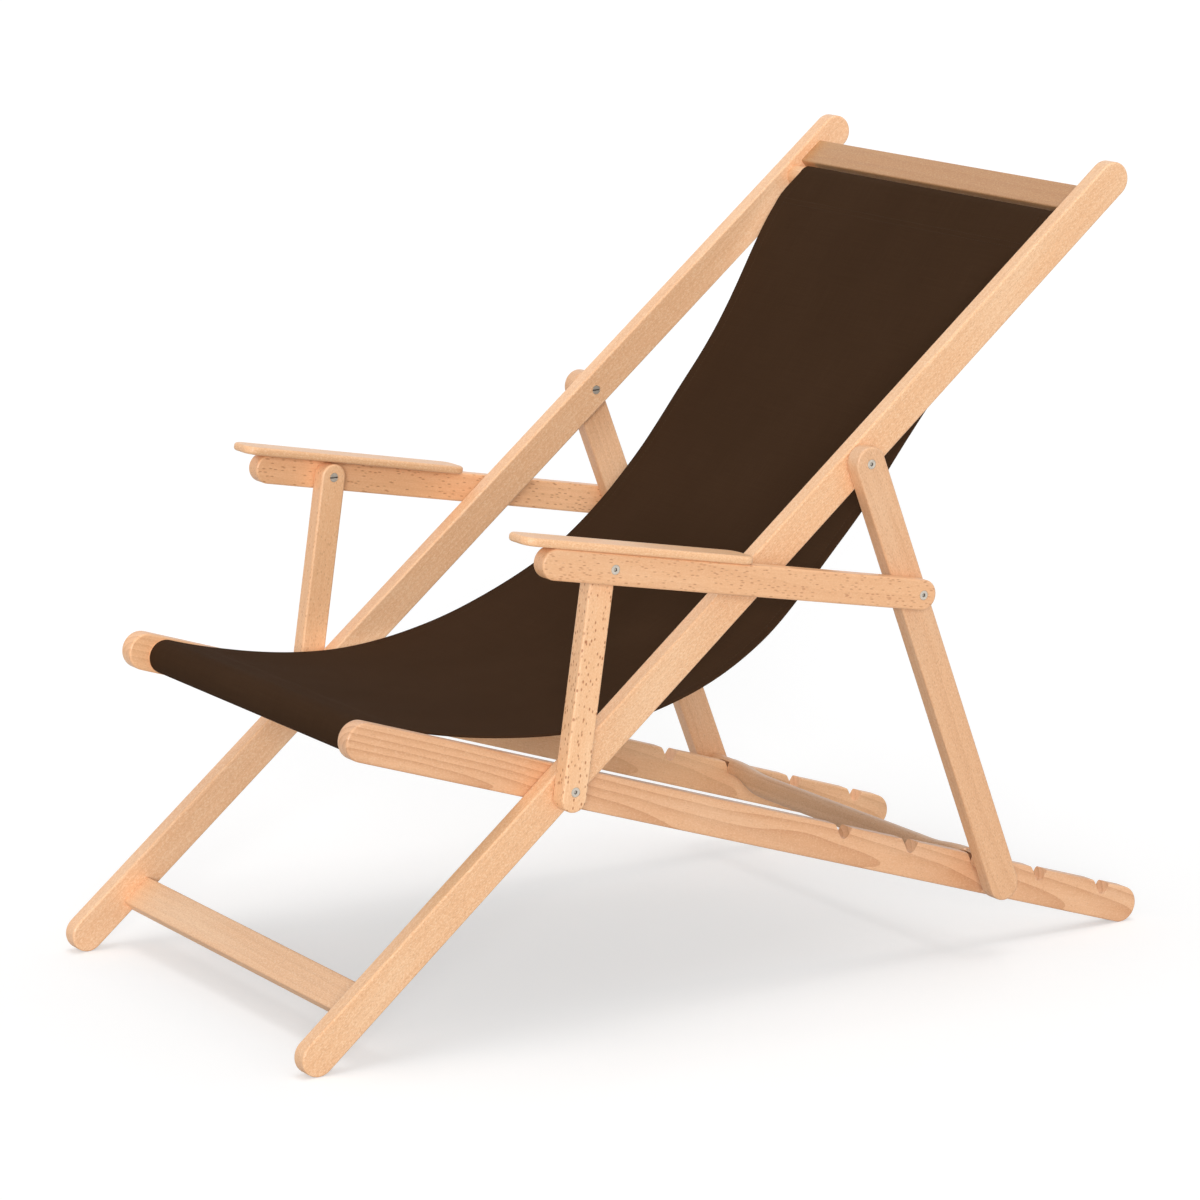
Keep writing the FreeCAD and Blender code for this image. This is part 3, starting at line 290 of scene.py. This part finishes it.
BARS = {
    "top_crossbar": Cut(flecks=0.35, specks=0.55, tone=(0.60, 0.52, 0.41)),
    "foot_crossbar": Cut(flecks=0.30, specks=0.40, tone=(1.06, 1.09, 1.15)),
    "top_sling_rod": Cut(),
    "front_sling_bar": Cut(),
    "prop_crossbar": Cut(rings=0.40, tone=(0.88, 0.89, 0.93)),
}


SEAT_RAIL_MIDDLE, SEAT_RAIL_SHIFT = 0.237, 0.004


def log_place(start, step, number):
    """Where in the log a numbered board is cut from."""
    return tuple(first + each * number for first, each in zip(start, step))


def paint_boards():
    """Each board gets its own cut from the log, so that no two show the same figure."""
    number = 0
    for piece, cut in BOARDS.items():
        for side, sign in (("left", -1), ("right", 1)):
            number += 1
            shift = log_place((0.13, 0, 0.09), (0.037, 1.7, -0.021), number)
            if piece == "seat_rail":
                shift = (-sign * SEAT_RAIL_MIDDLE, sign * SEAT_RAIL_SHIFT, -SEAT_RAIL_LEVEL)
            name = f"{piece}_{side}"
            grain = SINGLE_BOARDS.get(name, cut)
            paint(name, beech(f"beech_{name}", grain, (-cut.slope, 0, 0), shift))
    for piece, cut in BARS.items():
        number += 1
        shift = log_place((0.05, 0, 0.11), (0.031, 1.3, -0.017), number)
        paint(piece, beech(f"beech_{piece}", cut, ACROSS, shift))


# Plated steel of the pivot sleeves, bolts and washers, with painted shade in their recesses


STEEL_BRIGHT = (0.80, 0.73, 0.63, 1)
STEEL_DULL = (0.62, 0.56, 0.48, 1)
# The near-black colour is painted shade for the steel's recesses; the reach is how far from a wall that
# painted shade spreads.
STEEL_RECESS_SHADE = (0.07, 0.06, 0.05, 1)
SHADE_REACH = 0.003


def plated_steel():
    shader = Shader("plated_steel_bright")
    point = shader.add("ShaderNodeTexCoord").outputs["Object"]
    scratches = shader.noise(shader.place(point, scale=(900, 2600, 900)), 1.0, detail=2)
    patina = shader.noise(point, 160, detail=4)
    # Painted shade: an ambient occlusion mask darkens the sockets and the gaps round the bolt heads towards
    # near black.
    painted_shade_mask = shader.add("ShaderNodeAmbientOcclusion", {"Distance": SHADE_REACH}).outputs["AO"]
    bright = shader.mix(shader.ramp(patina, 0.35, 0.75), STEEL_BRIGHT, STEEL_DULL)
    shader.set({
        "Base Color": shader.mix(shader.ramp(painted_shade_mask, 0.35, 0.80), STEEL_RECESS_SHADE, bright),
        "Metallic": 0.6, "Roughness": shader.ramp(patina, 0.3, 0.8, 0.32, 0.48),
    })
    shader.bump(scratches, distance=0.00003)
    return shader.material


def paint_metal():
    steel = plated_steel()
    for name in nodes:
        if any(word in name for word in ("sleeve", "bolt", "washer")):
            paint(name, steel)


# Sling: one strip of cloth round both rods, hanging between them

CROSSING = Vector((0, -0.235995, 0.262706))
TOP_ROD_ALONG, TOP_ROD_RADIUS = 0.838, 0.012
FRONT_BAR_ALONG, FRONT_BAR_RADIUS = 0.216, 0.017
BACK_SLOPE, FRONT_SLOPE = math.radians(54.3), math.radians(-18.05)
STRAIGHT_RUN, BEND_SHARE = 0.361, 0.352
CLOTH = 0.0012
ROD_LIFT = 0.0012
SEAM, FLAP, UNDERLAP = 0.036, 0.010, 0.0014
QUARTER = math.pi / 2


def heading(angle):
    """Unit vector in the side view, from an angle above the back direction."""
    return Vector((0, math.cos(angle), math.sin(angle)))


def smooth(value, low, high):
    share = min(1, max(0, (value - low) / (high - low)))
    return share * share * (3 - 2 * share)


class Straight:
    """A flat stretch of the strip."""

    def __init__(self, start, finish, step):
        self.start, self.step = start, step
        self.direction = (finish - start).normalized()
        self.length = (finish - start).length

    def at(self, distance):
        return self.start + self.direction * distance, self.direction


class Turn:
    """A stretch of the strip that runs round a centre between two angles."""

    def __init__(self, centre, radius, first, last, step):
        self.centre, self.radius, self.first, self.step = centre, radius, first, step
        self.sign = 1 if last > first else -1
        self.length = abs(last - first) * radius

    def at(self, distance):
        angle = self.first + self.sign * distance / self.radius
        return self.centre + heading(angle) * self.radius, heading(angle + self.sign * QUARTER)


def bend(point, slope, other, first, last):
    """The bend that leaves a point at a slope and passes another point, between two slopes."""
    upper = heading(slope + QUARTER)
    chord = other - point
    radius = chord.dot(chord) / (2 * chord.dot(upper))
    return Turn(point + upper * radius, radius, first - QUARTER, last - QUARTER, step=0.008)


def leaving_angle(along, above, radius):
    """Angle round a rod at which the underlap leaves it, straight to its seam beside the rod."""
    towards = math.atan2(above, along)
    spread = math.acos(radius / math.hypot(along, above))
    return towards + spread if along < 0 else towards - spread + 2 * math.pi


def strip_line():
    """Stretches of the strip's middle line, from its upper sewn end round both rods to its lower one."""
    top_rod = CROSSING + heading(MAIN_TILT) * TOP_ROD_ALONG
    front_bar = CROSSING - heading(SEAT_TILT) * FRONT_BAR_ALONG
    top_radius, front_radius = TOP_ROD_RADIUS + ROD_LIFT, FRONT_BAR_RADIUS + ROD_LIFT
    back, front = heading(BACK_SLOPE), heading(FRONT_SLOPE)
    back_up, front_up = heading(BACK_SLOPE + QUARTER), heading(FRONT_SLOPE + QUARTER)
    start = top_rod + back_up * top_radius
    bend_start = start - back * STRAIGHT_RUN
    finish = front_bar + front_up * front_radius
    way = bend_start - finish
    turn = 2 * BEND_SHARE * (1 - back.dot(front))
    lean = way.dot(back + front * BEND_SHARE)
    reach = (math.sqrt(lean**2 + turn * way.dot(way)) - lean) / turn
    back_corner = bend_start - back * reach
    seat_corner = finish + front * BEND_SHARE * reach
    meeting = back_corner + (seat_corner - back_corner) / (1 + BEND_SHARE)
    meeting_slope = math.atan2(back_corner.z - seat_corner.z, back_corner.y - seat_corner.y)
    top_seam = start - back * SEAM - back_up * UNDERLAP
    front_seam = finish + front * SEAM - front_up * UNDERLAP
    top_leave = BACK_SLOPE + leaving_angle(-SEAM, top_radius - UNDERLAP, top_radius) - 2 * math.pi
    front_leave = FRONT_SLOPE + leaving_angle(SEAM, front_radius - UNDERLAP, front_radius)
    return [
        Straight(top_seam - back * FLAP, top_seam, step=0.005),
        Straight(top_seam, top_rod + heading(top_leave) * top_radius, step=0.006),
        Turn(top_rod, top_radius, top_leave, BACK_SLOPE + QUARTER, step=0.002),
        Straight(start, bend_start, step=0.008),
        bend(bend_start, BACK_SLOPE, meeting, BACK_SLOPE, meeting_slope),
        bend(finish, FRONT_SLOPE, meeting, meeting_slope, FRONT_SLOPE),
        Turn(front_bar, front_radius, FRONT_SLOPE + QUARTER, front_leave, step=0.0025),
        Straight(front_bar + heading(front_leave) * front_radius, front_seam, step=0.006),
        Straight(front_seam, front_seam + front * FLAP, step=0.005),
    ]


STRIP = strip_line()
STRIP_LENGTH = sum(stretch.length for stretch in STRIP)
PANEL_START = sum(stretch.length for stretch in STRIP[:3])
PANEL_END = sum(stretch.length for stretch in STRIP[:6])


def strip_at(distance):
    """Place and travel direction of the strip's middle line at a distance from its upper end."""
    for stretch in STRIP[:-1]:
        if distance <= stretch.length:
            return stretch.at(distance)
        distance -= stretch.length
    return STRIP[-1].at(distance)


def panel_share(distance):
    """0 at the top rod, 1 at the front bar."""
    return min(1, max(0, (distance - PANEL_START) / (PANEL_END - PANEL_START)))


def beside_underlap(distance):
    """The distance on the panel that an underlap is sewn to, or the panel's own distance."""
    overlap = SEAM + FLAP
    if distance < PANEL_START:
        return PANEL_START + max(0, overlap - distance)
    if distance > PANEL_END:
        return PANEL_END - max(0, overlap - (STRIP_LENGTH - distance))
    return distance


HALF_WIDTH = 0.2385
TOP_TAPER, TOP_CORNER, DRAWN_IN, SEAT_SPREAD, FRONT_TAPER = 0.004, 0.018, 0.0175, 0.020, 0.0135


def half_width(place, side):
    """From the middle to the left (-1) or right (1) edge: drawn in behind the back, wide in the seat."""
    distance = beside_underlap(place)
    share = panel_share(distance)
    below_corner = smooth(distance, PANEL_START - 0.015, PANEL_START + 0.040)
    corner = TOP_CORNER * (1 - below_corner) if side < 0 else 0
    drawn_in = DRAWN_IN * smooth(share, 0.05, 0.25)
    spread = SEAT_SPREAD * smooth(share, 0.40, 0.63)
    front = FRONT_TAPER * smooth(share, 0.68, 0.87)
    return HALF_WIDTH - TOP_TAPER * smooth(share, 0, 0.05) - corner - drawn_in + spread - front


def inset_at(distance, across):
    """How far a place on the strip lies inside its nearer edge."""
    return half_width(distance, math.copysign(1, across)) - abs(across)


FOLD, SWELL, EDGE_CURL, HOLLOW, BELLY = 0.0011, 0.0006, 0.0012, 0.0050, 0.0046


def hang(distance, across):
    """How far the free cloth stands off its middle line: a soft belly, faint folds, curled edges."""
    share = panel_share(distance)
    free = smooth(share, 0, 0.08) * smooth(1 - share, 0, 0.08)
    top_folds = math.sin(across * 74 + 0.6) * math.exp(-share * 9)
    front_folds = math.sin(across * 61 + 2.1) * math.exp(-(1 - share) * 10)
    swell = math.sin(share * 9 + across * 5) * math.cos(across * 11)
    edge = smooth(-inset_at(distance, across), -0.032, 0)
    hollow = smooth(share, 0.03, 0.17) * smooth(-share, -0.32, -0.18)
    belly = smooth(share, 0.30, 0.41) * smooth(-share, -0.54, -0.42)
    folds = FOLD * top_folds + FOLD * front_folds + SWELL * swell
    return free * (folds + EDGE_CURL * edge - HOLLOW * hollow + BELLY * belly)


HEM, HEM_END, STITCH_INSET, EDGE_ROLL = 0.017, 0.0182, 0.013, 0.0008
HEM_INSETS = (0, EDGE_ROLL, 0.003, 0.008, 0.0118, STITCH_INSET, 0.0142, HEM, HEM_END, 0.026)
MIDDLE_STEPS = 22


def cloth_point(distance, across, lift):
    """A point of the cloth, lifted off its middle line towards its outer side."""
    middle, direction = strip_at(distance)
    outer = Vector((0, direction.z, -direction.y))
    place = middle + outer * (lift + hang(distance, across))
    place.x = across
    return place, direction, outer


def across_places(distance):
    """Places across the strip from its left edge to its right edge, close together in the hems."""
    left = [inset - half_width(distance, -1) for inset in HEM_INSETS]
    right = [half_width(distance, 1) - inset for inset in reversed(HEM_INSETS)]
    way = right[0] - left[-1]
    return left + [left[-1] + way * number / MIDDLE_STEPS for number in range(1, MIDDLE_STEPS)] + right


def upper_lift(inset):
    """The outer face sinks along the stitches and rolls over at the edge."""
    roll = CLOTH * 0.6 * (1 - smooth(inset, 0, EDGE_ROLL))
    pull = 0.00035 * (1 - smooth(abs(inset - STITCH_INSET), 0, 0.0025))
    return CLOTH / 2 - roll - pull


def lower_lift(inset, distance):
    """The inner face carries the folded hem, which is pressed thin where it goes round a rod."""
    inside = smooth(distance, PANEL_START - 0.01, PANEL_START + 0.01)
    inside *= smooth(-distance, -PANEL_END - 0.01, -PANEL_END + 0.01)
    hem = CLOTH * (0.35 + 0.65 * inside) * (1 - smooth(inset, HEM, HEM_END))
    roll = CLOTH * 0.6 * (1 - smooth(inset, 0, EDGE_ROLL))
    return -CLOTH / 2 - hem + roll


def stations():
    """Distances along the strip at which its mesh has a row of points."""
    made, passed = [0], 0
    for stretch in STRIP:
        count = max(2, round(stretch.length / stretch.step))
        made += [passed + stretch.length * number / count for number in range(1, count + 1)]
        passed += stretch.length
    return made


def new_object(name, mesh, material):
    mesh.materials.append(material)
    for polygon in mesh.polygons:
        polygon.use_smooth = True
    made = bpy.data.objects.new(name, mesh)
    bpy.context.collection.objects.link(made)
    return made


def add_strip(material):
    rows, points, places = stations(), [], []
    for distance in rows:
        across = across_places(distance)
        for place in across:
            points.append(cloth_point(distance, place, upper_lift(inset_at(distance, place)))[0])
            places.append((place, distance))
        for place in reversed(across):
            points.append(cloth_point(distance, place, lower_lift(inset_at(distance, place), distance))[0])
            places.append((place, distance))
    ring = len(points) // len(rows)
    faces = [tuple(reversed(range(ring))), tuple(range(len(points) - ring, len(points)))]
    for row in range(len(rows) - 1):
        for step in range(ring):
            following = (step + 1) % ring
            faces.append((row * ring + step, row * ring + following,
                          (row + 1) * ring + following, (row + 1) * ring + step))
    mesh = bpy.data.meshes.new("sling_cloth")
    mesh.from_pydata(points, [], faces)
    layer = mesh.uv_layers.new(name="threads")
    for loop in mesh.loops:
        layer.data[loop.index].uv = places[loop.vertex_index]
    return new_object("sling_strip", mesh, material)


STITCH, STITCH_PITCH, STITCH_ROWS, THREAD = 0.0032, 0.0043, 0.006, 0.00042
STITCH_RINGS = ((-1.0, 0.25), (-0.8, 0.8), (0.0, 1.0), (0.8, 0.8), (1.0, 0.25))
THREAD_SIDES = 6


def add_stitch(mesh, place, direction, outer):
    """One stitch: a short thread that lies on the cloth and dips in at both ends."""
    side = direction.cross(outer)
    rings = []
    for along, swell in STITCH_RINGS:
        centre = place + direction * along * STITCH / 2 - outer * THREAD * 0.9 * along * along
        ring = []
        for number in range(THREAD_SIDES):
            angle = 2 * math.pi * number / THREAD_SIDES
            spoke = side * math.cos(angle) + outer * math.sin(angle)
            ring.append(mesh.verts.new(centre + spoke * THREAD * swell))
        rings.append(ring)
    for ring, following in zip(rings, rings[1:]):
        for number in range(THREAD_SIDES):
            beside = (number + 1) % THREAD_SIDES
            mesh.faces.new((ring[number], ring[beside], following[beside], following[number]))
    mesh.faces.new(reversed(rings[0]))
    mesh.faces.new(rings[-1])


def hem_stitches(mesh):
    """A row of stitches along each hem, on both faces of the cloth."""
    count = int((PANEL_END - PANEL_START) / STITCH_PITCH)
    for number in range(count):
        distance = PANEL_START + (number + 0.5) * STITCH_PITCH
        for side in (-1, 1):
            across = side * (half_width(distance, side) - STITCH_INSET)
            place, direction, outer = cloth_point(distance, across, upper_lift(STITCH_INSET))
            add_stitch(mesh, place, direction, outer)
            place, direction, outer = cloth_point(distance, across, lower_lift(STITCH_INSET, distance))
            add_stitch(mesh, place, direction, -outer)


def seam_stitches(mesh):
    """Two rows of stitches across the strip where each underlap is sewn to the panel."""
    top, front = PANEL_START + SEAM, PANEL_END - SEAM
    for seam in (top, top + STITCH_ROWS, front, front - STITCH_ROWS):
        first = STITCH_INSET - half_width(seam, -1)
        last = half_width(seam, 1) - STITCH_INSET
        count = int((last - first) / STITCH_PITCH)
        for number in range(count):
            across = first + (number + 0.5) * STITCH_PITCH
            for lift, facing in ((CLOTH / 2, 1), (-CLOTH / 2 - UNDERLAP, -1)):
                place, direction, outer = cloth_point(seam, across, lift)
                add_stitch(mesh, place, Vector((1, 0, 0)), outer * facing)


def add_stitching(material):
    work = bmesh.new()
    hem_stitches(work)
    seam_stitches(work)
    bmesh.ops.recalc_face_normals(work, faces=work.faces)
    mesh = bpy.data.meshes.new("sling_stitching")
    work.to_mesh(mesh)
    work.free()
    return new_object("sling_stitches", mesh, material)


CLOTH_DARK = (0.050, 0.0248, 0.0120, 1)
CLOTH_LIGHT = (0.062, 0.0318, 0.0162, 1)
# The gap colour is painted shade for the low places between the threads of the weave.
CLOTH_GAP_SHADE = (0.030, 0.0145, 0.0070, 1)
THREAD_DARK = (0.044, 0.022, 0.0108, 1)
THREAD_LIGHT = (0.074, 0.039, 0.021, 1)
THREADS_PER_METRE = 1150


def sling_cloth():
    """Dark brown canvas: a plain weave of slightly uneven threads, matte."""
    shader = Shader("brown_canvas")
    place = shader.add("ShaderNodeUVMap", uv_map="threads").outputs["UV"]
    threads = shader.place(place, scale=(THREADS_PER_METRE, THREADS_PER_METRE, 1))
    split = shader.add("ShaderNodeSeparateXYZ", {"Vector": threads})
    warp, weft = (
        shader.math("ABSOLUTE", shader.math("SINE", shader.math("MULTIPLY", split.outputs[way], math.pi)))
        for way in ("X", "Y"))
    over = shader.add("ShaderNodeTexChecker", {"Vector": threads, "Scale": 1.0}).outputs["Fac"]
    height = shader.add("ShaderNodeMix", data_type="FLOAT")
    shader.feed(height.inputs[0], over)
    shader.feed(height.inputs[2], warp)
    shader.feed(height.inputs[3], weft)
    weave = height.outputs[0]
    slub_warp = shader.noise(shader.place(place, scale=(900, 14, 1)), 1.0, detail=2)
    slub_weft = shader.noise(shader.place(place, scale=(14, 900, 1)), 1.0, detail=2)
    slub = shader.math("MULTIPLY", shader.math("ADD", slub_warp, slub_weft), 0.5)
    wear = shader.noise(shader.place(place, scale=(7, 4, 1)), 1.0, detail=4)
    tone = shader.math("ADD", shader.math("MULTIPLY", slub, 0.7), shader.math("MULTIPLY", wear, 0.5))
    colour = shader.mix(shader.ramp(tone, 0.4, 0.85), CLOTH_DARK, CLOTH_LIGHT)
    # Painted shade: the colour darkens where the weave is low, between the threads.
    colour = shader.mix(shader.ramp(weave, 0.0, 0.55, 0.35, 0.0), colour, CLOTH_GAP_SHADE)
    shader.set({"Base Color": colour, "Roughness": 0.9, "Specular IOR Level": 0.03})
    shader.bump(shader.math("ADD", weave, slub), distance=0.00018)
    return shader.material


def sewing_thread():
    shader = Shader("brown_thread")
    point = shader.add("ShaderNodeTexCoord").outputs["Object"]
    twist = shader.noise(shader.place(point, scale=(2600, 2600, 2600)), 1.0)
    shader.set({
        "Base Color": shader.mix(twist, THREAD_DARK, THREAD_LIGHT),
        "Roughness": 0.7, "Specular IOR Level": 0.1,
    })
    shader.bump(twist, distance=0.0001)
    return shader.material


def add_sling():
    strip = add_strip(sling_cloth())
    stitches = add_stitching(sewing_thread())
    for piece in (strip, stitches):
        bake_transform(piece)
    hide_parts("sling")
    width = sum(half_width(distance, side) for distance in stations() for side in (-1, 1)) / len(stations())


bpy.context.scene.view_settings.view_transform = "Standard"
light_scene()
add_floor()
add_camera()
paint_boards()
paint_metal()
add_sling()
